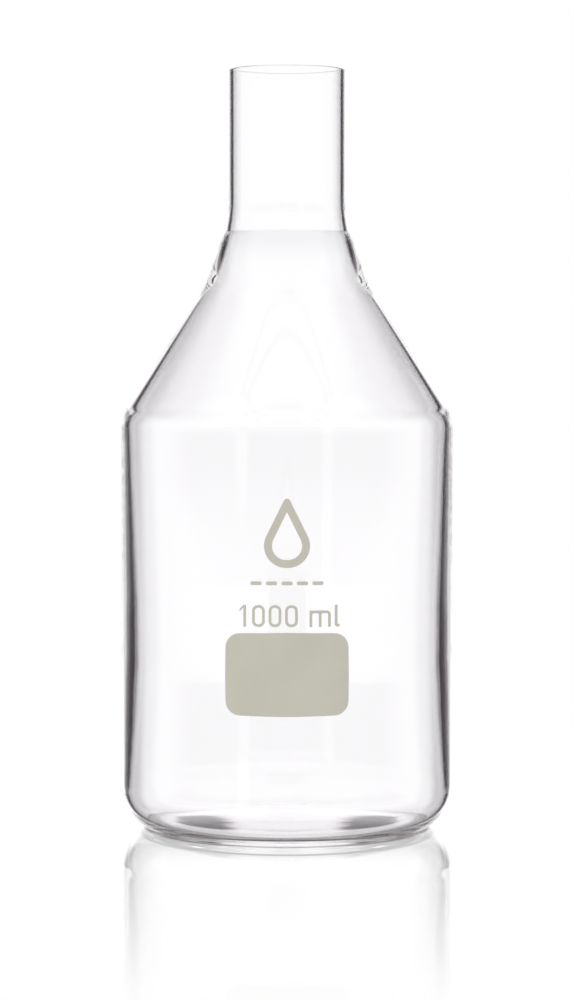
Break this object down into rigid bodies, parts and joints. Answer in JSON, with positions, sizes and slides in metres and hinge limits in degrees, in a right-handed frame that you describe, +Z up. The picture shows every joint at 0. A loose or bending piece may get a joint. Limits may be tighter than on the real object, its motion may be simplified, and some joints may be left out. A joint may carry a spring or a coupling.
{
  "type": "laboratory bottle",
  "caption": "Clear borosilicate glass laboratory bottle with a straight open neck, a conical shoulder and a fired enamel writing panel.",
  "frame": {"origin": "centre of the base, on the plane the bottle stands on", "axes": "+Z up the axis of the bottle, towards the open mouth; the enamel marks are on the front, which faces -Y"},
  "size_m": [0.101, 0.1011, 0.231],
  "materials": {
    "borosilicate_glass": "clear, fire polished",
    "fired_enamel": "matt grey-beige enamel fired into the surface"
  },
  "bodies": {
    "root": {"glass_bottle": "borosilicate_glass", "writing_panel": "fired_enamel", "capacity_mark": "fired_enamel", "rule_mark": "fired_enamel", "emblem_mark": "fired_enamel"}
  },
  "joints": []
}
